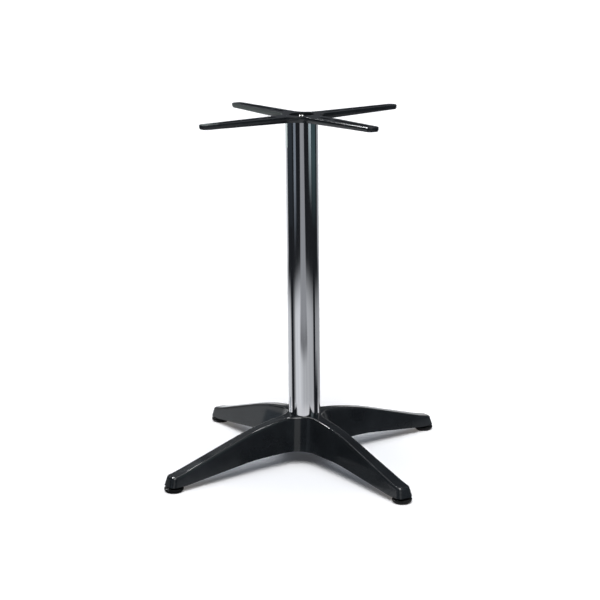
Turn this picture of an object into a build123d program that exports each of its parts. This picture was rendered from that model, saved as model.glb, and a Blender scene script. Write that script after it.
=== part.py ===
from build123d import *
from math import cos, radians, sin, tan
import os

# Pedestal table base: a hollow four-arm cast foot, a polished column, a slotted top cross,
# a tie rod that clamps the three together and four screw-in levelling feet.
# Millimetres, floor at z = 0, column on the Z axis, arms along X and Y.

# Overall
overall_height = 700.0
arm_count = 4

# Column tube
column_diameter = 63.5
column_wall = 2.0
column_fit = 0.15
column_seat_depth = 10.0

# Levelling feet: a hexagon-headed stud moulded into a round pad
pad_radius = 19.0
pad_sole_inset = 4.0
pad_edge_inset = 1.3
pad_edge_rise = 1.4
pad_side_rise = 4.4
pad_rim_height = 8.0
pad_collar_radius = 8.5
pad_collar_cover = 2.2
stud_radius = 3.95
stud_thread_gap = 0.05
stud_head_flats = 13.0
stud_head_height = 5.3
stud_head_floor = 2.5
stud_head_gap = 0.05
stud_engagement = 13.5
stud_hole_relief = 2.5
stud_chamfer = 0.8
foot_gap = 2.5

# Base casting, outside
foot_reach = 311.0
toe_overhang = 15.0
toe_half_width = 19.8
toe_depth = 18.5
nose_draft = 16.0
nose_corner_radius = 11.0
instep_setback = 12.0
instep_depth = 22.5
instep_run = 16.0
hub_half_width = 32.5
valley_radius = 48.0
casting_draft = 10.5
casting_edge_radius = 5.0
hub_height = 100.0
shoulder_reach = 105.0
shoulder_drop = 4.7
shoulder_run = 64.0
heel_setback = 15.0
heel_radius = 30.0
arch_reach = 140.0
arch_height = 31.5
arch_radius = 500.0
hub_underside = 33.5

# Base casting, inside
casting_wall = 4.5
toe_block_setback = 24.0
hub_wall = 8.0
hub_floor = 18.0
nut_well_radius = 28.0
spigot_rise = 6.0
spigot_wall = 8.0
spigot_floor_drop = 6.0

# Top cross
cross_reach = 231.0
cross_tip_half_width = 12.5
cross_tip_half_flat = 1.5
cross_root_half_width = 19.0
cross_valley_radius = 30.0
cross_tip_depth = 8.5
cross_root_depth = 12.0
cross_seat_margin = 4.0
cross_band_depth = 4.5
cross_band_draft = 4.0
cross_lower_draft = 28.0
cross_top_bevel = 1.2
cross_top_draft = 40.0
nut_recess_radius = 24.0
nut_recess_depth = 15.0
nut_recess_floor = 12.0
slot_width = 8.0
inner_slot_start = 60.0
inner_slot_length = 33.0
slot_bridge = 10.0
slot_tip_margin = 22.0

# Tie rod and its fasteners
rod_radius = 4.9
rod_thread_gap = 0.1
rod_clearance = 0.6
rod_stand_out = 3.5
rod_chamfer = 1.0
nut_across_flats = 17.0
nut_thickness = 8.0
top_washer_radius = 15.0
top_washer_thickness = 2.5
base_washer_radius = 20.0
base_washer_thickness = 3.0
lock_washer_radius = 9.0
lock_washer_thickness = 2.2
lock_washer_split = 1.6

# How far a cutting shape runs past what it cuts
overrun = 1.0

# Levels and radii that follow from the sizes above
column_radius = column_diameter / 2
column_bore = column_radius - column_wall
column_foot = hub_height - column_seat_depth
spigot_radius = column_bore - column_fit
spigot_floor = column_foot - spigot_floor_drop
nut_seat = column_foot - hub_floor
hub_boss_radius = column_radius + column_fit + hub_wall
cross_underside = overall_height - cross_root_depth
recess_floor = overall_height - nut_recess_depth
cross_spigot_foot = recess_floor - nut_recess_floor
outer_slot_start = inner_slot_start + inner_slot_length + slot_bridge
outer_slot_length = cross_reach - slot_tip_margin - outer_slot_start
pad_collar_height = stud_head_floor + stud_head_height + pad_collar_cover
toe_underside = pad_collar_height + foot_gap
stud_top = toe_underside + stud_engagement
stud_hole_top = stud_top + stud_hole_relief
toe_end = foot_reach + toe_overhang
nose_setback = toe_depth * tan(radians(nose_draft))
arm_end = toe_end + toe_depth
core_end = foot_reach - toe_block_setback
rod_hole_radius = rod_radius + rod_clearance
nut_bore = rod_radius + rod_thread_gap
lock_washer_top = nut_seat - base_washer_thickness
base_nut_foot = lock_washer_top - lock_washer_thickness - nut_thickness
top_nut_foot = recess_floor + top_washer_thickness
rod_foot = base_nut_foot - rod_stand_out
rod_head = top_nut_foot + nut_thickness + rod_stand_out

# Half-plane midway between two arms, where the turned profiles are drawn
valley_plane = Plane.XZ.rotated((0, 0, 180 / arm_count))

# Flank of an arm, leaning in with the draft and closing in from the hub to the toe
flank_slope = (hub_half_width - toe_half_width) / toe_end
arm_flank = Plane(
    (0, hub_half_width, 0),
    x_dir=(1, -flank_slope, 0),
    z_dir=(flank_slope, 1, tan(radians(casting_draft))),
)

# How a solid lies on its location
hang = (Align.CENTER, Align.CENTER, Align.MAX)
stand = (Align.CENTER, Align.CENTER, Align.MIN)
reach_out = (Align.MIN, Align.CENTER, Align.MIN)

# Line of the arm's back in the turned profile: hub, shoulder, instep, end of the toe
back_of_arm = (
    (column_radius, hub_height),
    (shoulder_reach, hub_height - shoulder_drop),
    (foot_reach - instep_setback, toe_underside + instep_depth),
    (toe_end - nose_setback, toe_underside + toe_depth),
)
underside_of_back = tuple((reach, height - casting_wall) for reach, height in back_of_arm)


def blend_radius(before, corner, after, run):
    """Radius of the arc that leaves the corner's two lines at the given run from it."""
    turn = (Vector(corner) - Vector(before)).get_angle(Vector(after) - Vector(corner))
    return run / tan(radians(turn / 2))


back_blends = (
    blend_radius(*back_of_arm[:3], shoulder_run),
    blend_radius(*back_of_arm[1:], instep_run),
)

os.makedirs("parts", exist_ok=True)

# Core that leaves one arm hollow from below
with BuildPart() as arm_core:
    with Locations((hub_boss_radius, 0, 0)):
        Box(core_end - hub_boss_radius, 2 * hub_half_width, hub_height, align=reach_out)
    split(bisect_by=arm_flank.offset(-casting_wall), keep=Keep.BOTTOM)
    mirror(about=Plane.XZ, mode=Mode.INTERSECT)
    with BuildSketch(Plane.XZ):
        with BuildLine():
            FilletPolyline(*underside_of_back, radius=back_blends)
            Polyline(
                underside_of_back[-1],
                (underside_of_back[-1][0], 0),
                (column_radius, 0),
                underside_of_back[0],
            )
        make_face()
    revolve(axis=Axis.Z, mode=Mode.INTERSECT)

# Drafted bar that one arm is cut from
with BuildPart() as arm_bar:
    Box(arm_end, 2 * hub_half_width, hub_height + overrun, align=reach_out)
    split(bisect_by=arm_flank, keep=Keep.BOTTOM)
    mirror(about=Plane.XZ, mode=Mode.INTERSECT)

# Cast foot: four bars blended at the hub and cut to the rise and fall of the arms
with BuildPart() as base_casting:
    with PolarLocations(0, arm_count):
        add(arm_bar.part)
    uprights = edges().filter_by(lambda edge: abs((edge @ 1 - edge @ 0).Z) > hub_height / 2)
    fillet(uprights.group_by(SortBy.DISTANCE)[0], radius=valley_radius)
    with BuildSketch(valley_plane):
        with BuildLine():
            FilletPolyline((0, hub_height), *back_of_arm, radius=(0, *back_blends))
            FilletPolyline(
                (toe_end, toe_underside),
                (foot_reach - heel_setback, toe_underside),
                (arch_reach, arch_height),
                (0, hub_underside),
                radius=(heel_radius, arch_radius),
            )
            Line(back_of_arm[-1], (toe_end, toe_underside))
            Line((0, hub_underside), (0, hub_height))
        make_face()
    revolve(axis=Axis.Z, mode=Mode.INTERSECT)
    nose_faces = faces().group_by(SortBy.DISTANCE)[-1]
    nose_corners = nose_faces.edges().filter_by(lambda edge: abs((edge @ 1 - edge @ 0).Z) > toe_depth / 2)
    fillet(nose_corners, radius=nose_corner_radius)
    wall_edges = faces().filter_by(lambda face: abs(face.normal_at().Z) < 0.3).edges()
    crown_edges = faces().filter_by(lambda face: face.normal_at().Z > 0.5).edges()
    fillet(crown_edges.filter_by(lambda edge: edge in wall_edges), radius=casting_edge_radius)
    with PolarLocations(0, arm_count):
        add(arm_core.part, mode=Mode.SUBTRACT)
    # Well under the hub for the tie rod's nut
    with Locations((0, 0, nut_seat)):
        Cylinder(nut_well_radius, nut_seat, align=hang, mode=Mode.SUBTRACT)
    # Ring groove that seats the column, and the hollow spigot that centres it
    with BuildSketch(Plane.XY.offset(column_foot)):
        Circle(column_radius + column_fit)
        Circle(spigot_radius, mode=Mode.SUBTRACT)
    extrude(amount=column_seat_depth, mode=Mode.SUBTRACT)
    with BuildSketch(Plane.XY.offset(hub_height)):
        Circle(spigot_radius)
    extrude(amount=spigot_rise)
    with BuildSketch(Plane.XY.offset(spigot_floor)):
        Circle(spigot_radius - spigot_wall)
    extrude(amount=hub_height + spigot_rise - spigot_floor, mode=Mode.SUBTRACT)
    Hole(rod_hole_radius)
    # Blind tapped holes for the levelling feet
    with PolarLocations(foot_reach, arm_count):
        with Locations((0, 0, stud_hole_top)):
            Cylinder(stud_radius + stud_thread_gap, stud_hole_top, align=hang, mode=Mode.SUBTRACT)
base_casting.part.label = "base_casting"
export_step(base_casting.part, "parts/base_casting.step")

# Column tube, standing in the groove and carrying the cross
with BuildPart() as column:
    with BuildSketch(Plane.XY.offset(column_foot)):
        Circle(column_radius)
        Circle(column_bore, mode=Mode.SUBTRACT)
    extrude(amount=cross_underside - column_foot)
column.part.label = "column"
export_step(column.part, "parts/column.step")

# Top cross: flat above, thinning towards the tips, with two fixing slots along each arm
with BuildPart() as top_cross:
    with BuildSketch(Plane.XY.offset(overall_height - cross_top_bevel)) as cross_plan:
        with PolarLocations(0, arm_count):
            Polygon(
                (0, -cross_root_half_width),
                (cross_reach, -cross_tip_half_width),
                (cross_reach, cross_tip_half_width),
                (0, cross_root_half_width),
                align=None,
            )
        fillet(vertices().sort_by(SortBy.DISTANCE)[:arm_count], radius=cross_valley_radius)
        tip_corners = vertices().sort_by(SortBy.DISTANCE)[-2 * arm_count :]
        fillet(tip_corners, radius=cross_tip_half_width - cross_tip_half_flat)
    extrude(amount=cross_top_bevel, taper=cross_top_draft)
    extrude(cross_plan.sketch, amount=-cross_band_depth, taper=cross_band_draft)
    extrude(faces().sort_by(Axis.Z)[0], amount=cross_root_depth, taper=cross_lower_draft)
    with BuildSketch(valley_plane):
        with BuildLine():
            Polyline(
                (0, overall_height),
                (cross_reach + overrun, overall_height),
                (cross_reach + overrun, overall_height - cross_tip_depth),
                (column_radius + cross_seat_margin, cross_underside),
                (0, cross_underside),
                close=True,
            )
        make_face()
    revolve(axis=Axis.Z, mode=Mode.INTERSECT)
    # Spigot that plugs the column, and the recess that sinks the nut below the table top
    with Locations((0, 0, cross_underside)):
        Cylinder(spigot_radius, cross_underside - cross_spigot_foot, align=hang)
    with Locations((0, 0, recess_floor)):
        Cylinder(nut_recess_radius, nut_recess_depth, align=stand, mode=Mode.SUBTRACT)
        Hole(rod_hole_radius)
    with BuildSketch(Plane.XY.offset(overall_height)):
        with PolarLocations(inner_slot_start + inner_slot_length / 2, arm_count):
            SlotOverall(inner_slot_length, slot_width)
        with PolarLocations(outer_slot_start + outer_slot_length / 2, arm_count):
            SlotOverall(outer_slot_length, slot_width)
    extrude(amount=-cross_root_depth, mode=Mode.SUBTRACT)
top_cross.part.label = "top_cross"
export_step(top_cross.part, "parts/top_cross.step")

# Tie rod, from the well under the hub to the recess in the cross
with BuildPart() as tie_rod:
    with BuildSketch(Plane.XY.offset(rod_foot)):
        Circle(rod_radius)
    extrude(amount=rod_head - rod_foot)
    chamfer(edges().filter_by(GeomType.CIRCLE), length=rod_chamfer)
tie_rod.part.label = "tie_rod"
export_step(tie_rod.part, "parts/tie_rod.step")

# Washer and nut in the recess
with BuildPart() as top_washer:
    with BuildSketch(Plane.XY.offset(recess_floor)):
        Circle(top_washer_radius)
        Circle(rod_hole_radius, mode=Mode.SUBTRACT)
    extrude(amount=top_washer_thickness)
top_washer.part.label = "top_washer"
export_step(top_washer.part, "parts/top_washer.step")

with BuildPart() as top_nut:
    with BuildSketch(Plane.XY.offset(top_nut_foot)):
        RegularPolygon(nut_across_flats / 2, 6, major_radius=False)
        Circle(nut_bore, mode=Mode.SUBTRACT)
    extrude(amount=nut_thickness)
top_nut.part.label = "top_nut"
export_step(top_nut.part, "parts/top_nut.step")

# Washer, split lock washer and nut in the well
with BuildPart() as base_washer:
    with BuildSketch(Plane.XY.offset(lock_washer_top)):
        Circle(base_washer_radius)
        Circle(rod_hole_radius, mode=Mode.SUBTRACT)
    extrude(amount=base_washer_thickness)
base_washer.part.label = "base_washer"
export_step(base_washer.part, "parts/base_washer.step")

with BuildPart() as lock_washer:
    with BuildSketch(Plane.XY.offset(lock_washer_top)):
        Circle(lock_washer_radius)
        Circle(rod_hole_radius, mode=Mode.SUBTRACT)
        with Locations((lock_washer_radius, 0)):
            Rectangle(lock_washer_radius, lock_washer_split, mode=Mode.SUBTRACT)
    extrude(amount=-lock_washer_thickness)
lock_washer.part.label = "lock_washer"
export_step(lock_washer.part, "parts/lock_washer.step")

with BuildPart() as base_nut:
    with BuildSketch(Plane.XY.offset(base_nut_foot)):
        RegularPolygon(nut_across_flats / 2, 6, major_radius=False)
        Circle(nut_bore, mode=Mode.SUBTRACT)
    extrude(amount=nut_thickness)
base_nut.part.label = "base_nut"
export_step(base_nut.part, "parts/base_nut.step")

# One levelling foot under each toe
for number in range(arm_count):
    turn = radians(number * 360 / arm_count)
    foot_centre = (foot_reach * cos(turn), foot_reach * sin(turn), 0)
    foot_floor = Plane(foot_centre)
    foot_side = Plane(foot_centre, x_dir=(1, 0, 0), z_dir=(0, -1, 0))
    head_floor = foot_floor.offset(stud_head_floor)

    with BuildPart() as foot_pad:
        with BuildSketch(foot_side):
            with BuildLine():
                Polyline(
                    (0, 0),
                    (pad_radius - pad_sole_inset, 0),
                    (pad_radius - pad_edge_inset, pad_edge_rise),
                    (pad_radius, pad_side_rise),
                    (pad_radius, pad_rim_height),
                    (pad_collar_radius, pad_collar_height),
                    (0, pad_collar_height),
                    close=True,
                )
            make_face()
        revolve(axis=Axis(foot_centre, (0, 0, 1)))
        with BuildSketch(head_floor):
            RegularPolygon(stud_head_flats / 2 + stud_head_gap, 6, major_radius=False)
        extrude(amount=stud_head_height + stud_head_gap, mode=Mode.SUBTRACT)
        with BuildSketch(head_floor):
            Circle(stud_radius + stud_head_gap)
        extrude(amount=pad_collar_height, mode=Mode.SUBTRACT)
    foot_pad.part.label = f"foot_pad_{number + 1}"
    export_step(foot_pad.part, f"parts/foot_pad_{number + 1}.step")

    with BuildPart() as foot_stud:
        with BuildSketch(head_floor):
            RegularPolygon(stud_head_flats / 2, 6, major_radius=False)
        extrude(amount=stud_head_height)
        with BuildSketch(head_floor):
            Circle(stud_radius)
        extrude(amount=stud_top - stud_head_floor)
        chamfer(edges().group_by(Axis.Z)[-1], length=stud_chamfer)
    foot_stud.part.label = f"foot_stud_{number + 1}"
    export_step(foot_stud.part, f"parts/foot_stud_{number + 1}.step")
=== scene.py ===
import bpy
from math import atan2, ceil, cos, degrees, pi, radians, sin, tan
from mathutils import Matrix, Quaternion, Vector


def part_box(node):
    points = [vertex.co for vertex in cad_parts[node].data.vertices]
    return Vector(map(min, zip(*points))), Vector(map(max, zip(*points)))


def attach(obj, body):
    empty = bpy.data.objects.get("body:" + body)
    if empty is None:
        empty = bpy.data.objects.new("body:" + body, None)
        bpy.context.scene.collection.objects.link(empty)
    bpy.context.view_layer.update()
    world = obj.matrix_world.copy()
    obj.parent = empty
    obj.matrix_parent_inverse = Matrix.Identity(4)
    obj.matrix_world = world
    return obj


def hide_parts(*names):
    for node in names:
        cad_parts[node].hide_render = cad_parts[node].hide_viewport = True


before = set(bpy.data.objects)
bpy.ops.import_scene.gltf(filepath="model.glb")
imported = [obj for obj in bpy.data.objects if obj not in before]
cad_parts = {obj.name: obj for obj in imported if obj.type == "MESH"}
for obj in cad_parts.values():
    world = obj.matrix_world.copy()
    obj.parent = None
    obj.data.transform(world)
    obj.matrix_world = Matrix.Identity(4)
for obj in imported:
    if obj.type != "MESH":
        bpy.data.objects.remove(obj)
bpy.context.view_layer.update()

scene = bpy.context.scene
scene.view_settings.view_transform = "Standard"
upward = Vector((0, 0, 1))
print("frame loaded:", len(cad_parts), "nodes")


# objects
def activate(piece):
    bpy.ops.object.select_all(action="DESELECT")
    piece.select_set(True)
    bpy.context.view_layer.objects.active = piece


def settle(piece):
    # leaves the piece at the origin, unturned and unscaled
    activate(piece)
    bpy.ops.object.transform_apply(location=True, rotation=True, scale=True)


def nameNew(name):
    # the object that was added last
    piece = bpy.context.object
    piece.name = name
    return piece


def addToScene(name, data):
    made = bpy.data.objects.new(name, data)
    scene.collection.objects.link(made)
    return made


def pointAt(thing, direction, roll=0):
    # cameras and lamps look along their own -Z
    turn = Quaternion((0, 0, 1), radians(roll))
    thing.rotation_mode = "QUATERNION"
    thing.rotation_quaternion = direction.to_track_quat("-Z", "Y") @ turn


def dress(piece, mat):
    piece.data.materials.clear()
    piece.data.materials.append(mat)


# shader nodes, where the owner is a material or the world
def newMaterial(name):
    mat = bpy.data.materials.new(name)
    mat.use_nodes = True
    mat.node_tree.nodes.clear()
    return mat


def addNode(owner, kind, **values):
    made = owner.node_tree.nodes.new(kind)
    for key, value in values.items():
        if key in made.inputs:
            made.inputs[key].default_value = value
        else:
            setattr(made, key, value)
    return made


def wire(owner, *ends):
    # each end is (from node, output, to node, input)
    for source, output, target, slot in ends:
        owner.node_tree.links.new(source.outputs[output], target.inputs[slot])


def ramp(owner, *stops):
    made = addNode(owner, "ShaderNodeValToRGB")
    points = made.color_ramp.elements
    while len(points) < len(stops):
        points.new(0.5)
    for point, (place, colour) in zip(points, stops):
        point.position = place
        point.color = (*colour, 1)
    return made


def between(owner, low, high, start=0, end=1, smooth=False):
    # goes from start to end while its input goes from low to high
    kind = "SMOOTHSTEP" if smooth else "LINEAR"
    made = addNode(owner, "ShaderNodeMapRange", interpolation_type=kind)
    span = {"From Min": low, "From Max": high, "To Min": start, "To Max": end}
    for socket, value in span.items():
        made.inputs[socket].default_value = value
    return made


def calculate(owner, operation, *constants, kind="ShaderNodeMath"):
    # the constants go in after the first input
    made = addNode(owner, kind, operation=operation)
    for place, value in enumerate(constants, 1):
        made.inputs[place].default_value = value
    return made


def measure(owner, operation, *constants):
    return calculate(owner, operation, *constants, kind="ShaderNodeVectorMath")


def mixColours(owner, second=(0, 0, 0)):
    made = addNode(owner, "ShaderNodeMix", data_type="RGBA")
    made.inputs["B"].default_value = (*second, 1)
    return made


def sightRays(owner):
    # 1 for rays from the camera, off a mirror or through glass, 0 for falling light
    rays = addNode(owner, "ShaderNodeLightPath")
    mirrored = calculate(owner, "MAXIMUM")
    either = calculate(owner, "MAXIMUM")
    wire(
        owner,
        (rays, "Is Camera Ray", mirrored, 0),
        (rays, "Is Glossy Ray", mirrored, 1),
        (mirrored, 0, either, 0),
        (rays, "Is Transmission Ray", either, 1),
    )
    return either


def finishMaterial(mat, shader):
    out = addNode(mat, "ShaderNodeOutputMaterial")
    wire(mat, (shader, 0, out, "Surface"))
    return mat


# camera, worked out from the photo
cameraSet = {
    "turn": -35.73,  # degrees about the column, 0 looks along +Y
    "distance": 3.2698,
    "height": 1.1512,
    "aimHeight": 0.3311,
    "aimSide": -0.0068,
    "roll": -0.62,
    "focalPixels": 1703.7,
    "imagePixels": 600,
    "sensorWidth": 36,
    "clipEnd": 200,
}
cameraTurn = radians(cameraSet["turn"])
towardCamera = Vector((sin(cameraTurn), -cos(cameraTurn), 0))
rightOfCamera = Vector((cos(cameraTurn), sin(cameraTurn), 0))


def makeCamera():
    values = cameraSet
    data = bpy.data.cameras.new("photoCamera")
    data.sensor_width = values["sensorWidth"]
    data.lens = values["sensorWidth"] * values["focalPixels"] / values["imagePixels"]
    data.clip_end = values["clipEnd"]
    cam = addToScene("photoCamera", data)
    place = towardCamera * values["distance"] + upward * values["height"]
    aim = rightOfCamera * values["aimSide"] + upward * values["aimHeight"]
    cam.location = place
    pointAt(cam, aim - place, values["roll"])
    scene.camera = cam


makeCamera()
print("camera set")

# stage: white paper under a dim sky, which camera and reflections see as white
stageSet = {
    "floorSize": 80,
    "floorColour": (0.93, 0.93, 0.94, 1),
    # brings the lit paper up to white, with less of it near the object, a painted deepening of the
    # object's own shadow
    "liftNear": 0.02,
    "liftFar": 0.22,
    "liftReach": (0.13, 0.44),
    "liftColour": (1.08, 1.0, 0.92, 1),
    "skySeen": (0.97, 0.975, 0.98),
    # the sky's own light, from the horizon up
    "skyTones": (
        (0.1, (0.18, 0.20, 0.235)),
        (0.25, (0.15, 0.17, 0.205)),
        (0.5, (0.15, 0.17, 0.205)),
        (0.75, (0.215, 0.245, 0.29)),
    ),
}
# broad lamps: name, side, front and height of their place, angle, power
lamps = (
    ("keyBox", 0.0, 2.3, 2.85, 30, 2.9),
    ("overheadBox", -0.2, 0.0, 3.0, 50, 0.35),
)

# what the metal mirrors outside the picture, all of it painted reflection from sheets seen only by
# reflections, by bearing from the camera's side of the tube
darkTone = (0.022, 0.024, 0.028)
wallTone = (0.085, 0.090, 0.100)
mirrorSet = {
    "sheenSize": 24,
    "sheenHeight": 0.0006,  # just clear of the floor
    # painted reflection: tones of the paper round the object as the metal mirrors it, its dark
    # bands painted shade, bearing in degrees, right is positive
    "paintedReflectionTones": (
        (-180, 1.05), (-125, 1.02), (-104, 0.90), (-94, 0.34), (-70, 0.34), (-60, 1.08),
        (-33, 1.22), (-12, 0.95), (0, 0.80), (23, 0.77), (60, 0.73), (70, 0.62),
        (74, 0.08), (86, 0.08), (92, 0.56), (110, 0.52), (150, 0.58), (180, 0.95),
    ),
    "paperTint": (0.97, 1, 1.03),
    "paperHole": 0.36,  # the real floor with its shadow shows inside this
    "holeBlend": (-0.04, 0.10),
    "paperFade": (1.08, 1.70),  # where the lit paper ends
    "paperSquash": 0.85,  # it ends later towards the camera than to the sides
    # bays of painted shade on the mirrored paper between the arms, bearing and how far they reach
    "bayReach": (
        (-92, 0), (-83, 0.40), (-53, 0.40), (-46, 0.27), (-18, 0.27), (-8, 0),
        (40, 0), (47, 0.36), (110, 0.36), (118, 0),
    ),
    "bayShadeTone": (0.20, 0.21, 0.22),
    "bayBlend": 0.03,
    # painted reflection: grey lane between object and camera, wider as it goes
    "laneStart": 0.70,
    "laneFull": 0.22,  # past its start
    "laneSettled": 0.45,
    "laneTip": 0.30,
    "laneTone": 0.50,
    "laneTint": (0.97, 1, 1.05),
    "laneSide": 0.24,
    "laneSpread": 0.19,
    "laneBlend": 0.08,
    # painted dark reflection: dark studio round the paper, seen only by reflections
    "studio": darkTone,
    "studioSide": 1.75,
    "studioFront": 7.0,
    "studioBack": 1.2,
    "studioHeight": 4.0,
    "backBlend": 0.3,
    "backWall": 5.5,
    "flagFoot": 0.002,
    "edgeReach": 0.24,
    "edgeFade": 0.085,
    "stripSide": 1.34,
    "stripTop": 1.6,
}
# painted reflection, glowing wall behind the object seen only by reflections: name, from side, to
# side, foot, top, tone
backWalls = (
    ("backLow", -4.5, 4.5, 0.8, 2.6, wallTone),
    ("backHighLeft", -4.5, 0.0, 2.6, 9.0, (0.30, 0.32, 0.34)),
    ("backHighRight", 0.0, 4.5, 2.6, 9.0, wallTone),
)
# painted reflection, strips seen only by reflections that draw dark lines beside the tube, one
# lighter for the rear arm's flank: name, bearing, width, top, tones at the foot and the top
edgeStrips = (
    ("edgeLeft", -84, 0.094, 0.44, darkTone, darkTone),
    ("edgeRight", 78, 0.066, 0.44, darkTone, darkTone),
    ("edgeFoot", 96.4, 0.090, 0.17, darkTone, (0.46, 0.47, 0.49)),
    ("rearShade", -118.5, 0.042, 0.066, (0.30, 0.36, 0.42), (0.30, 0.36, 0.42)),
)
# painted reflection, upright glowing strips seen only by reflections: name, side, from bearing, to
# bearing, fade foot, fade top, colour
sideStrips = (
    ("blueStrip", -1, 44, 61, 0.08, 0.30, (0.34, 0.39, 0.45)),
    ("tealStrip", 1, 47, 66, 0.22, 0.45, (0.66, 0.79, 0.83)),
    ("blueGlow", -1, 74, 126, 0.10, 0.45, (0.050, 0.062, 0.074)),
    ("tealGlow", 1, 68, 108, 0.20, 0.40, (0.075, 0.120, 0.130)),
)
# painted highlight, upright glowing panels seen only by reflections, for the cross's edges: name,
# middle, width, height, tone
rimPanels = (
    ("rimBack", (-0.75, 2.0, 2.0), 1.15, 0.7, (0.80, 0.84, 0.86)),
    ("rimSide", (-0.072, 0.247, 0.67), 0.11, 0.14, (0.95, 1.08, 1.05)),
)
# painted highlight, level glowing panels seen only by reflections, for the crests of the foot:
# name, near corner, far corner, height, tone
crestPanels = (
    ("crestBack", (-1.15, 1.6), (0.15, 2.45), 2.4, (85.0, 85.8, 86.6)),
    ("crestRight", (0.35, -0.35), (0.9, 0.45), 2.4, (30.0, 30.3, 30.6)),
)


def paperMaterial():
    values = stageSet
    mat = newMaterial("whitePaper")
    lit = addNode(mat, "ShaderNodeBsdfDiffuse", Color=values["floorColour"])
    lift = addNode(mat, "ShaderNodeEmission", Color=values["liftColour"])
    where = addNode(mat, "ShaderNodeTexCoord")
    away = measure(mat, "LENGTH")
    rise = between(mat, *values["liftReach"], values["liftNear"], values["liftFar"], smooth=True)
    amount = calculate(mat, "MULTIPLY")
    both = addNode(mat, "ShaderNodeAddShader")
    under = addNode(mat, "ShaderNodeBsdfTransparent")
    side = addNode(mat, "ShaderNodeNewGeometry")
    pick = addNode(mat, "ShaderNodeMixShader")
    wire(
        mat,
        (where, "Object", away, 0),
        (away, "Value", rise, "Value"),
        (sightRays(mat), 0, amount, 0),
        (rise, "Result", amount, 1),
        (amount, 0, lift, "Strength"),
        (lit, 0, both, 0),
        (lift, 0, both, 1),
        (side, "Backfacing", pick, 0),
        (both, 0, pick, 1),
        (under, 0, pick, 2),
    )
    return finishMaterial(mat, pick)


def glowMaterial(name, foot, top, low=0, high=1):
    # even glow that goes from one colour to another between two heights
    mat = newMaterial(name)
    where = addNode(mat, "ShaderNodeTexCoord")
    parts = addNode(mat, "ShaderNodeSeparateXYZ")
    rise = between(mat, low, high)
    shade = ramp(mat, (0, foot), (1, top))
    glow = addNode(mat, "ShaderNodeEmission", Strength=1)
    wire(
        mat,
        (where, "Object", parts, "Vector"),
        (parts, "Z", rise, "Value"),
        (rise, "Result", shade, "Fac"),
        (shade, "Color", glow, "Color"),
    )
    return finishMaterial(mat, glow)


def onlyMirrored(panel):
    panel.visible_camera = False
    panel.visible_diffuse = False
    panel.visible_shadow = False
    panel.visible_transmission = False


def makeFloor():
    bpy.ops.mesh.primitive_plane_add(size=stageSet["floorSize"])
    floor = nameNew("paperFloor")
    dress(floor, paperMaterial())


def makeFlag(name, middle, turn, width, foot, top, mat):
    # an upright panel round the object, met by reflections only
    bpy.ops.mesh.primitive_plane_add(size=1, rotation=(radians(90), 0, 0))
    flag = nameNew(name)
    flag.scale = (width, top - foot, 1)
    settle(flag)
    flag.rotation_euler = (0, 0, cameraTurn + radians(turn))
    flag.location = middle + upward * ((foot + top) / 2)
    settle(flag)
    dress(flag, mat)
    onlyMirrored(flag)


def makeCanopy(name, near, far, height, mat):
    # a level panel overhead, met by reflections only
    middle = ((near[0] + far[0]) / 2, (near[1] + far[1]) / 2, height)
    bpy.ops.mesh.primitive_plane_add(size=1, location=middle)
    canopy = nameNew(name)
    canopy.scale = (far[0] - near[0], far[1] - near[1], 1)
    settle(canopy)
    dress(canopy, mat)
    onlyMirrored(canopy)


def besideTube(turn, reach):
    # a place on the floor, by its bearing from the camera's side of the tube
    bearing = radians(turn)
    return (towardCamera * cos(bearing) + rightOfCamera * sin(bearing)) * reach


def onRamp(angle):
    # a bearing's place on a ramp that goes once round
    return (angle + 180) / 360


def tinted(tone, tint):
    return tuple(tone * part for part in tint)


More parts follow.
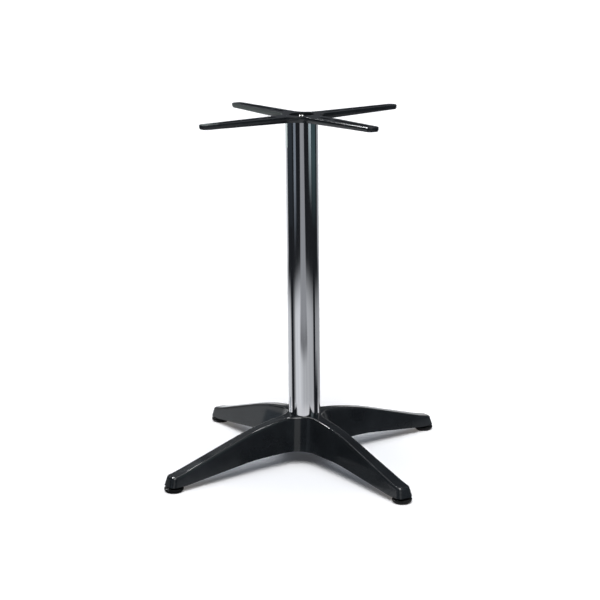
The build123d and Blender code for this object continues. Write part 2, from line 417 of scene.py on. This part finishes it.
def sheenMaterial():
    # painted reflection of lit paper and dark studio floor, as the tube mirrors them
    values = mirrorSet
    mat = newMaterial("paperSheen")
    where = addNode(mat, "ShaderNodeTexCoord")
    across = measure(mat, "DOT_PRODUCT", rightOfCamera)
    along = measure(mat, "DOT_PRODUCT", towardCamera)
    away = measure(mat, "LENGTH")
    bearing = calculate(mat, "ARCTAN2")
    turn = between(mat, -pi, pi)
    # painted reflection of paper, with bands of painted shade, that ends at the studio's floor
    tones, tint = values["paintedReflectionTones"], values["paperTint"]
    near = ramp(mat, *((onRamp(angle), tinted(tone, tint)) for angle, tone in tones))
    shorter = calculate(mat, "MULTIPLY", values["paperSquash"])
    flat = addNode(mat, "ShaderNodeCombineXYZ")
    reach = measure(mat, "LENGTH")
    fade = between(mat, *values["paperFade"], smooth=True)
    back, blend = values["studioBack"], values["backBlend"]
    front = between(mat, -back - blend, -back + blend, smooth=True)
    dim = calculate(mat, "MULTIPLY")
    paper = mixColours(mat, values["studio"])
    # painted reflection: grey lane towards the camera
    side = calculate(mat, "ABSOLUTE")
    spread = calculate(mat, "MULTIPLY_ADD", values["laneSpread"], values["laneSide"])
    inside = calculate(mat, "SUBTRACT")
    lane = between(mat, -values["laneBlend"], values["laneBlend"], smooth=True)
    first = values["laneStart"]
    full, settled = first + values["laneFull"], first + values["laneSettled"]
    start = between(mat, first, full, smooth=True)
    both = calculate(mat, "MULTIPLY")
    change = between(mat, full, settled)
    tip, rest = (tinted(values[key], values["laneTint"]) for key in ("laneTip", "laneTone"))
    grey = ramp(mat, (0, tip), (1, rest))
    laid = mixColours(mat)
    # painted shade in the bays between the arms
    bay = ramp(mat, *((onRamp(angle), (far, far, far)) for angle, far in values["bayReach"]))
    room = calculate(mat, "SUBTRACT")
    inBay = between(mat, -values["bayBlend"], values["bayBlend"], smooth=True)
    dimmed = mixColours(mat, values["bayShadeTone"])
    # open round the object itself
    inner, outer = (values["paperHole"] + step for step in values["holeBlend"])
    hole = between(mat, inner, outer, smooth=True)
    shown = calculate(mat, "MAXIMUM")
    glow = addNode(mat, "ShaderNodeEmission", Strength=1)
    clear = addNode(mat, "ShaderNodeBsdfTransparent")
    pick = addNode(mat, "ShaderNodeMixShader")
    wire(
        mat,
        (where, "Object", across, 0),
        (where, "Object", along, 0),
        (where, "Object", away, 0),
        (across, "Value", bearing, 0),
        (along, "Value", bearing, 1),
        (bearing, 0, turn, "Value"),
        (turn, "Result", near, "Fac"),
        (along, "Value", shorter, 0),
        (across, "Value", flat, "X"),
        (shorter, 0, flat, "Y"),
        (flat, 0, reach, 0),
        (reach, "Value", fade, "Value"),
        (along, "Value", front, "Value"),
        (fade, "Result", dim, 0),
        (front, "Result", dim, 1),
        (dim, 0, paper, "Factor"),
        (near, "Color", paper, "A"),
        (across, "Value", side, 0),
        (along, "Value", spread, 0),
        (spread, 0, inside, 0),
        (side, 0, inside, 1),
        (inside, 0, lane, "Value"),
        (along, "Value", start, "Value"),
        (lane, "Result", both, 0),
        (start, "Result", both, 1),
        (both, 0, laid, "Factor"),
        (along, "Value", change, "Value"),
        (change, "Result", grey, "Fac"),
        (grey, "Color", laid, "B"),
        (paper, "Result", laid, "A"),
        (turn, "Result", bay, "Fac"),
        (bay, "Color", room, 0),
        (away, "Value", room, 1),
        (room, 0, inBay, "Value"),
        (inBay, "Result", dimmed, "Factor"),
        (laid, "Result", dimmed, "A"),
        (dimmed, "Result", glow, "Color"),
        (away, "Value", hole, "Value"),
        (hole, "Result", shown, 0),
        (inBay, "Result", shown, 1),
        (shown, 0, pick, 0),
        (clear, 0, pick, 1),
        (glow, 0, pick, 2),
    )
    return finishMaterial(mat, pick)


def makeMirrorRoom():
    values = mirrorSet
    bpy.ops.mesh.primitive_plane_add(
        size=values["sheenSize"],
        location=(0, 0, values["sheenHeight"]),
    )
    sheen = nameNew("paperSheen")
    settle(sheen)
    dress(sheen, sheenMaterial())
    onlyMirrored(sheen)
    studio, ground = values["studio"], values["flagFoot"]
    deep = values["studioFront"] + values["studioBack"]
    middle = towardCamera * ((values["studioFront"] - values["studioBack"]) / 2)
    dark = glowMaterial("darkStudio", studio, studio)
    for name, sign in (("studioLeft", -1), ("studioRight", 1)):
        place = middle + rightOfCamera * (sign * values["studioSide"])
        makeFlag(name, place, 90, deep, ground, values["studioHeight"], dark)
    for name, left, right, foot, top, tone in backWalls:
        place = rightOfCamera * ((left + right) / 2) - towardCamera * values["backWall"]
        makeFlag(name, place, 0, right - left, foot, top, glowMaterial(name, tone, tone))
    for name, turn, width, top, footTone, topTone in edgeStrips:
        place = besideTube(turn, values["edgeReach"])
        glow = glowMaterial(name, footTone, topTone, values["edgeFade"], top)
        makeFlag(name, place, turn, width, ground, top, glow)
    for name, sign, first, last, foot, top, colour in sideStrips:
        # both ends as distances along the side of the room
        start, end = (values["stripSide"] / tan(radians(turn)) for turn in (first, last))
        place = rightOfCamera * (sign * values["stripSide"]) + towardCamera * ((start + end) / 2)
        glow = glowMaterial(name, studio, colour, foot, top)
        makeFlag(name, place, 90, abs(start - end), foot, values["stripTop"], glow)
    for name, (x, y, z), width, tall, tone in rimPanels:
        # square to the column
        facing = degrees(atan2(y, x)) - 90 - cameraSet["turn"]
        foot, top = z - tall / 2, z + tall / 2
        makeFlag(name, Vector((x, y, 0)), facing, width, foot, top, glowMaterial(name, tone, tone))
    for name, near, far, height, tone in crestPanels:
        makeCanopy(name, near, far, height, glowMaterial(name, tone, tone))


def makeWorld():
    world = bpy.data.worlds.new("dimStudio")
    scene.world = world
    world.use_nodes = True
    world.node_tree.nodes.clear()
    where = addNode(world, "ShaderNodeTexCoord")
    parts = addNode(world, "ShaderNodeSeparateXYZ")
    shade = ramp(world, *stageSet["skyTones"])
    sky = addNode(world, "ShaderNodeBackground")
    seen = addNode(world, "ShaderNodeBackground", Color=(*stageSet["skySeen"], 1))
    pick = addNode(world, "ShaderNodeMixShader")
    out = addNode(world, "ShaderNodeOutputWorld")
    wire(
        world,
        (where, "Generated", parts, 0),
        (parts, "Z", shade, 0),
        (shade, "Color", sky, "Color"),
        (sightRays(world), 0, pick, 0),
        (sky, 0, pick, 1),
        (seen, 0, pick, 2),
        (pick, 0, out, "Surface"),
    )


def makeLamps():
    for name, side, front, height, angle, power in lamps:
        data = bpy.data.lights.new(name, "SUN")
        data.energy = power
        data.angle = radians(angle)
        lamp = addToScene(name, data)
        lamp.location = rightOfCamera * side + towardCamera * front + upward * height
        pointAt(lamp, -lamp.location)


makeFloor()
makeMirrorRoom()
makeWorld()
makeLamps()
print("stage set")


# finishes
def noise(mat, source, output, scale, detail):
    made = addNode(mat, "ShaderNodeTexNoise", Scale=scale, Detail=detail)
    wire(mat, (source, output, made, "Vector"))
    return made


def coat(mat, pattern, relief, values):
    # colour and gloss follow the pattern, fine bumps follow the relief
    low, high = values["toneRange"]
    tone = ramp(mat, (low, values["dark"]), (high, values["light"]))
    gloss = between(mat, 0, 1, *values["gloss"])
    bump = addNode(mat, "ShaderNodeBump", Strength=values["bump"], Distance=values["bumpDepth"])
    skin = addNode(mat, "ShaderNodeBsdfPrincipled", Metallic=values["metallic"])
    skin.inputs["Specular IOR Level"].default_value = values["specular"]
    wire(
        mat,
        (pattern, "Fac", tone, "Fac"),
        (pattern, "Fac", gloss, "Value"),
        (tone, "Color", skin, "Base Color"),
        (gloss, "Result", skin, "Roughness"),
        (relief, "Fac", bump, "Height"),
        (bump, "Normal", skin, "Normal"),
    )
    return finishMaterial(mat, skin)


# black gloss enamel on the two castings
enamelSet = {
    "dark": (0.0058, 0.0068, 0.0080),
    "light": (0.0130, 0.0150, 0.0170),
    "toneRange": (0.35, 0.7),
    "cloudScale": 10,
    "cloudDetail": 4,
    "peelScale": 320,
    "peelDetail": 2,
    "bump": 0.02,
    "bumpDepth": 0.0004,
    "metallic": 0,
    "specular": 0.30,
    "gloss": (0.08, 0.15),
}


def enamelMaterial():
    values = enamelSet
    mat = newMaterial("blackEnamel")
    where = addNode(mat, "ShaderNodeTexCoord")
    cloud = noise(mat, where, "Object", values["cloudScale"], values["cloudDetail"])
    peel = noise(mat, where, "Object", values["peelScale"], values["peelDetail"])
    return coat(mat, cloud, peel, values)


# bright polished tube
polishSet = {
    "dark": (0.46, 0.46, 0.48),
    "light": (0.52, 0.52, 0.53),
    "toneRange": (0.3, 0.7),
    "lineAcross": 900,
    "lineAlong": 4,
    "lineDetail": 3,
    "bump": 0.012,
    "bumpDepth": 0.0001,
    "metallic": 1,
    "specular": 0.5,
    "gloss": (0.05, 0.10),
}


def polishMaterial():
    values = polishSet
    mat = newMaterial("polishedTube")
    where = addNode(mat, "ShaderNodeTexCoord")
    across, along = values["lineAcross"], values["lineAlong"]
    stretch = addNode(mat, "ShaderNodeMapping", Scale=(across, across, along))
    wire(mat, (where, "Object", stretch, "Vector"))
    lines = noise(mat, stretch, "Vector", 1, values["lineDetail"])
    return coat(mat, lines, lines, values)


# zinc plated fasteners
zincSet = {
    "dark": (0.20, 0.20, 0.195),
    "light": (0.31, 0.31, 0.30),
    "toneRange": (0.3, 0.7),
    "grainScale": 420,
    "grainDetail": 3,
    "bump": 0.1,
    "bumpDepth": 0.0002,
    "metallic": 1,
    "specular": 0.5,
    "gloss": (0.16, 0.28),
}

# moulded black plastic of the feet
plasticSet = {
    "dark": (0.0015, 0.0015, 0.0016),
    "light": (0.003, 0.003, 0.0032),
    "toneRange": (0.3, 0.7),
    "grainScale": 900,
    "grainDetail": 3,
    "bump": 0.12,
    "bumpDepth": 0.0002,
    "metallic": 0,
    "specular": 0.12,
    "gloss": (0.45, 0.6),
}


def grainMaterial(name, values):
    mat = newMaterial(name)
    where = addNode(mat, "ShaderNodeTexCoord")
    grain = noise(mat, where, "Object", values["grainScale"], values["grainDetail"])
    return coat(mat, grain, grain, values)


blackEnamel = enamelMaterial()
polishedTube = polishMaterial()
zincPlate = grainMaterial("zincPlate", zincSet)
blackPlastic = grainMaterial("blackPlastic", plasticSet)
print("finishes made")

# how the pieces are made
shapeSet = {
    "same": 0.00001,  # lengths closer than this count as the same
    "level": 0.9,  # a face whose normal rises more than this counts as level
    "hexagon": 6,
    "shadeAngle": 30,
}


def editAll(piece):
    activate(piece)
    bpy.ops.object.mode_set(mode="EDIT")
    bpy.ops.mesh.select_all(action="SELECT")


def smoothShade(piece, angle):
    # smooth up to the given angle, with broad faces kept true beside their eased edges
    activate(piece)
    bpy.ops.object.shade_smooth_by_angle(angle=radians(angle))
    bpy.ops.object.modifier_add(type="WEIGHTED_NORMAL")
    piece.modifiers[-1].keep_sharp = True
    bpy.ops.object.modifier_apply(modifier=piece.modifiers[-1].name)


def handOver(piece, mat, nodeName, body, angle):
    smoothShade(piece, angle)
    dress(piece, mat)
    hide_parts(nodeName)
    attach(piece, body)


def finishPiece(piece, mat, nodeName, body):
    editAll(piece)
    bpy.ops.mesh.normals_make_consistent(inside=False)
    bpy.ops.object.mode_set(mode="OBJECT")
    handOver(piece, mat, nodeName, body, shapeSet["shadeAngle"])


# the two castings
castingSet = {
    "weld": 0.00001,
    "shadeAngle": 32,
}


def smoothCopy(nodeName, pieceName, mat, body):
    # the node's own shape with its loose triangles joined, so that it shades smoothly
    piece = addToScene(pieceName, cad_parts[nodeName].data.copy())
    activate(piece)
    bpy.ops.mesh.customdata_custom_splitnormals_clear()
    editAll(piece)
    bpy.ops.mesh.remove_doubles(threshold=castingSet["weld"])
    bpy.ops.object.mode_set(mode="OBJECT")
    handOver(piece, mat, nodeName, body, castingSet["shadeAngle"])


smoothCopy("base_casting", "baseShell", blackEnamel, "frame")
smoothCopy("top_cross", "crossPlate", blackEnamel, "frame")
print("castings dressed")


# tests that pick faces and edges
def isTop(normal):
    return normal.z > shapeSet["level"]


def isUnder(normal):
    return normal.z < -shapeSet["level"]


def isLevel(normal):
    return isTop(normal) or isUnder(normal)


def isRing(first, second):
    # an edge that runs round the axis, at one height and one radius
    level = abs(first.z - second.z) < shapeSet["same"]
    return level and abs(first.xy.length - second.xy.length) < shapeSet["same"]


def isAny(first, second):
    return True


# steps that several pieces share
def selectNone(points, edges, faces):
    # picks what is selected from here on, and ends in object mode with nothing selected
    bpy.ops.object.mode_set(mode="EDIT")
    bpy.context.tool_settings.mesh_select_mode = (points, edges, faces)
    bpy.ops.mesh.select_all(action="DESELECT")
    bpy.ops.object.mode_set(mode="OBJECT")


def drawFaces(piece, test, inward, outward=0):
    # insets the faces that pass the test and moves them outward, and stays in edit mode
    selectNone(False, False, True)
    for face in piece.data.polygons:
        face.select = test(face.normal)
    bpy.ops.object.mode_set(mode="EDIT")
    bpy.ops.mesh.inset(thickness=inward, depth=outward)


def easeEdges(piece, test, ease, steps):
    selectNone(False, True, False)
    points = piece.data.vertices
    for edge in piece.data.edges:
        edge.select = test(*(points[end].co for end in edge.vertices))
    bpy.ops.object.mode_set(mode="EDIT")
    bpy.ops.mesh.bevel(offset=ease, segments=steps, affect="EDGES")
    bpy.ops.object.mode_set(mode="OBJECT")


def addBar(name, sides, radius, low, high):
    # a round or many-sided bar on the axis, one corner on +X
    bpy.ops.mesh.primitive_cylinder_add(
        vertices=sides,
        radius=radius,
        depth=high - low,
        location=(0, 0, (low + high) / 2),
        rotation=(0, 0, radians(90)),
    )
    piece = nameNew(name)
    settle(piece)
    return piece


def hexCorner(flats):
    return flats / 2 / cos(radians(30))


def cutWith(piece, cutter, operation):
    activate(piece)
    bpy.ops.object.modifier_add(type="BOOLEAN")
    cut = piece.modifiers[-1]
    cut.operation = operation
    cut.object = cutter
    cut.solver = "EXACT"
    bpy.ops.object.modifier_apply(modifier=cut.name)
    bpy.data.objects.remove(cutter)


def copyTo(piece, name, shift):
    # another of the same, moved, with its own mesh
    other = addToScene(name, piece.data.copy())
    activate(other)
    bpy.ops.transform.translate(value=shift)
    settle(other)
    return other


def joinTo(piece, *others):
    activate(piece)
    for other in others:
        other.select_set(True)
    bpy.ops.object.join()
    return piece


# polished tube and the two flat washers
tubeSet = {
    "sides": 192,
    "outer": 0.03175,
    "inner": 0.02975,
    "low": 0.090,
    "high": 0.688,
    "ease": 0.0004,
    "easeSteps": 1,
}
topWasherSet = {
    "sides": 72,
    "outer": 0.015,
    "inner": 0.0055,
    "low": 0.685,
    "high": 0.6875,
    "ease": 0.0005,
    "easeSteps": 3,
}
baseWasherSet = {
    "sides": 72,
    "outer": 0.020,
    "inner": 0.0055,
    "low": 0.069,
    "high": 0.072,
    "ease": 0.0006,
    "easeSteps": 3,
}


def makeRing(name, values):
    # a bar opened out to a tube, its four rims eased
    outer, inner = values["outer"], values["inner"]
    ring = addBar(name, values["sides"], outer, values["low"], values["high"])
    drawFaces(ring, isLevel, outer - inner)
    bpy.ops.mesh.bridge_edge_loops()
    easeEdges(ring, isRing, values["ease"], values["easeSteps"])
    return ring


finishPiece(makeRing("columnTube", tubeSet), polishedTube, "column", "frame")
finishPiece(makeRing("topWasher", topWasherSet), zincPlate, "top_washer", "frame")
finishPiece(makeRing("baseWasher", baseWasherSet), zincPlate, "base_washer", "frame")
print("tube and washers made")

# split lock washer under the hub
lockWasherSet = {
    "inner": 0.0055,
    "outer": 0.009,
    "low": 0.0668,
    "high": 0.069,
    "splitAngle": 12.6,
    "steps": 60,
    "ease": 0.0003,
    "easeSteps": 2,
}


def makeLockWasher():
    values = lockWasherSet
    inner, outer, low, high = (values[key] for key in ("inner", "outer", "low", "high"))
    bpy.ops.mesh.primitive_plane_add(size=1, rotation=(radians(90), 0, 0))
    washer = nameNew("lockWasher")
    washer.scale = (outer - inner, high - low, 1)
    settle(washer)
    editAll(washer)
    bpy.ops.transform.translate(value=((outer + inner) / 2, 0, (high + low) / 2))
    # the section's corners are eased before it is spun round
    bpy.ops.mesh.bevel(offset=values["ease"], segments=values["easeSteps"], affect="VERTICES")
    bpy.ops.mesh.select_all(action="SELECT")
    swept = radians(360 - values["splitAngle"])
    bpy.ops.mesh.spin(steps=values["steps"], angle=swept, center=(0, 0, 0), axis=(0, 0, 1))
    bpy.ops.object.mode_set(mode="OBJECT")
    # the split is centred on +X
    washer.rotation_euler = (0, 0, radians(values["splitAngle"] / 2))
    settle(washer)
    return washer


finishPiece(makeLockWasher(), zincPlate, "lock_washer", "frame")

# hexagon nuts on the tie rod
nutSet = {
    "flats": 0.017,
    "thick": 0.008,
    "chamferRun": 0.0014,
    "chamferRise": 0.0008,
    "turnedSides": 96,
    "bore": 0.005,
    "boreSides": 48,
    "boreEase": 0.0005,
    "boreEaseSteps": 1,
    "topLow": 0.6875,
    "baseLow": 0.0588,
}


def makeNut():
    values = nutSet
    low, thick, rise = values["topLow"], values["thick"], values["chamferRise"]
    bore = values["bore"]
    corner = hexCorner(values["flats"])

    def isBoreRim(first, second):
        return isRing(first, second) and first.xy.length < bore + shapeSet["same"]

    nut = addBar("topNut", shapeSet["hexagon"], corner, low, low + thick)
    turned = addBar("nutTurning", values["turnedSides"], corner, low + rise, low + thick - rise)
    drawFaces(turned, isLevel, values["chamferRun"], rise)
    bpy.ops.object.mode_set(mode="OBJECT")
    cutWith(nut, turned, "INTERSECT")
    drill = addBar("nutDrill", values["boreSides"], bore, low - thick, low + 2 * thick)
    cutWith(nut, drill, "DIFFERENCE")
    easeEdges(nut, isBoreRim, values["boreEase"], values["boreEaseSteps"])
    return nut


topNut = makeNut()
baseNut = copyTo(topNut, "baseNut", (0, 0, nutSet["baseLow"] - nutSet["topLow"]))
finishPiece(topNut, zincPlate, "top_nut", "frame")
finishPiece(baseNut, zincPlate, "base_nut", "frame")
print("nuts and lock washer made")

# threads of the tie rod and the studs
threadSet = {
    "stepsPerTurn": 36,
    "spareTurns": 3,
    "weld": 0.000005,
    "turnedSides": 48,
    "turnedOver": 1.02,
    "tipSteps": 1,
}


def makeThread(name, values, low, high):
    # a one-pitch V wound round the axis, cut off square and its tips turned down
    radius, depth, pitch = (values[key] for key in ("radius", "threadDepth", "pitch"))
    bpy.ops.mesh.primitive_circle_add(vertices=4, radius=1, rotation=(radians(90), 0, 0))
    thread = nameNew(name)
    thread.scale = (depth, pitch / 2, 1)
    settle(thread)
    selectNone(True, False, False)
    for point in thread.data.vertices:
        point.select = point.co.x < -depth / 2
    bpy.ops.object.mode_set(mode="EDIT")
    bpy.ops.mesh.delete(type="VERT")
    bpy.ops.mesh.select_all(action="SELECT")
    bpy.ops.transform.translate(value=(radius - depth, 0, low - pitch))
    bpy.ops.object.mode_set(mode="OBJECT")
    bpy.ops.object.modifier_add(type="SCREW")
    wind = thread.modifiers[-1]
    wind.screw_offset = pitch
    wind.iterations = ceil((high - low) / pitch) + threadSet["spareTurns"]
    wind.steps = wind.render_steps = threadSet["stepsPerTurn"]
    bpy.ops.object.modifier_apply(modifier=wind.name)
    editAll(thread)
    bpy.ops.mesh.remove_doubles(threshold=threadSet["weld"])
    for height, under in ((low, True), (high, False)):
        bpy.ops.mesh.bisect(
            plane_co=(0, 0, height),
            plane_no=(0, 0, 1),
            use_fill=True,
            clear_inner=under,
            clear_outer=not under,
        )
        bpy.ops.mesh.select_all(action="SELECT")
    bpy.ops.mesh.normals_make_consistent(inside=False)
    bpy.ops.object.mode_set(mode="OBJECT")
    over = radius * threadSet["turnedOver"]
    turned = addBar("threadTurning", threadSet["turnedSides"], over, low, high)
    easeEdges(turned, isRing, values["tipEase"], threadSet["tipSteps"])
    cutWith(thread, turned, "INTERSECT")
    return thread


# tie rod with a thread at each end
rodSet = {
    "radius": 0.0049,
    "threadDepth": 0.0008,
    "pitch": 0.0015,
    "threadRun": 0.034,
    "low": 0.0553,
    "high": 0.699,
    "tipEase": 0.0009,
    "shankSides": 48,
    "shankSteps": 2,
}


def makeRod():
    values = rodSet
    low, high, run = values["low"], values["high"], values["threadRun"]
    foot = makeThread("tieRod", values, low, low + run)
    head = makeThread("rodHead", values, high - run, high)
    shank = addBar("rodShank", values["shankSides"], values["radius"], low + run, high - run)
    easeEdges(shank, isRing, values["tipEase"], values["shankSteps"])
    return joinTo(foot, head, shank)


finishPiece(makeRod(), zincPlate, "tie_rod", "frame")
print("tie rod made")

# levelling feet: threaded stud with a hexagon head, moulded into a round pad
studSet = {
    "radius": 0.00395,
    "threadDepth": 0.00068,
    "pitch": 0.00125,
    "low": 0.0070,
    "high": 0.026,
    "tipEase": 0.0008,
    "headFlats": 0.013,
    "headLow": 0.0025,
    "headHigh": 0.0078,
    "headEase": 0.0003,
    "headSteps": 2,
}
padSet = {
    "sides": 96,
    "radius": 0.019,
    "sideLow": 0.0044,
    "rimHigh": 0.008,
    "soleInset": 0.004,
    "collar": 0.0085,
    "collarHigh": 0.010,
    "bore": 0.004,
    "boreSides": 48,
    "headGap": 0.00005,
    "underEase": 0.0022,
    "rimEase": 0.0007,
    "collarEase": 0.0005,
    "easeSteps": 4,
    "easeFind": 0.0001,
}


def makeStud():
    values = studSet
    thread = makeThread("studPattern", values, values["low"], values["high"])
    corner = hexCorner(values["headFlats"])
    head = addBar("studHead", shapeSet["hexagon"], corner, values["headLow"], values["headHigh"])
    easeEdges(head, isAny, values["headEase"], values["headSteps"])
    return joinTo(thread, head)


def makePad():
    values = padSet
    radius, rim, sideLow = values["radius"], values["rimHigh"], values["sideLow"]
    collar, collarHigh = values["collar"], values["collarHigh"]
    pad = addBar("padPattern", values["sides"], radius, sideLow, rim)
    # sole drawn in below, collar drawn up above
    drawFaces(pad, isUnder, values["soleInset"], sideLow)
    drawFaces(pad, isTop, radius - collar, collarHigh - rim)
    eases = (
        ("underEase", radius, sideLow),
        ("rimEase", radius, rim),
        ("collarEase", collar, collarHigh),
        ("collarEase", radius - values["soleInset"], 0),
    )
    for name, reach, height in eases:
        place = Vector((reach, height))

        def isHere(first, second):
            off = Vector((first.xy.length, first.z)) - place
            return isRing(first, second) and off.length < values["easeFind"]

        easeEdges(pad, isHere, values[name], values["easeSteps"])
    # pocket for the stud's head and the hole that its shank leaves by
    gap, headHigh = values["headGap"], studSet["headHigh"]
    corner = hexCorner(studSet["headFlats"] + 2 * gap)
    sides = shapeSet["hexagon"]
    pocket = addBar("headPocket", sides, corner, studSet["headLow"], headHigh + gap)
    cutWith(pad, pocket, "DIFFERENCE")
    drill = addBar("padDrill", values["boreSides"], values["bore"], headHigh, collarHigh * 2)
    cutWith(pad, drill, "DIFFERENCE")
    return pad


def footCentre(number):
    low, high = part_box(f"foot_pad_{number}")
    return Vector(((low[0] + high[0]) / 2, (low[1] + high[1]) / 2, 0))


padPattern, studPattern = makePad(), makeStud()
for number in range(1, 5):
    pad = copyTo(padPattern, f"footPad{number}", footCentre(number))
    stud = copyTo(studPattern, f"footStud{number}", footCentre(number))
    finishPiece(pad, blackPlastic, f"foot_pad_{number}", f"foot_{number}")
    finishPiece(stud, zincPlate, f"foot_stud_{number}", f"foot_{number}")
for pattern in (padPattern, studPattern):
    bpy.data.objects.remove(pattern)
print("levelling feet made")
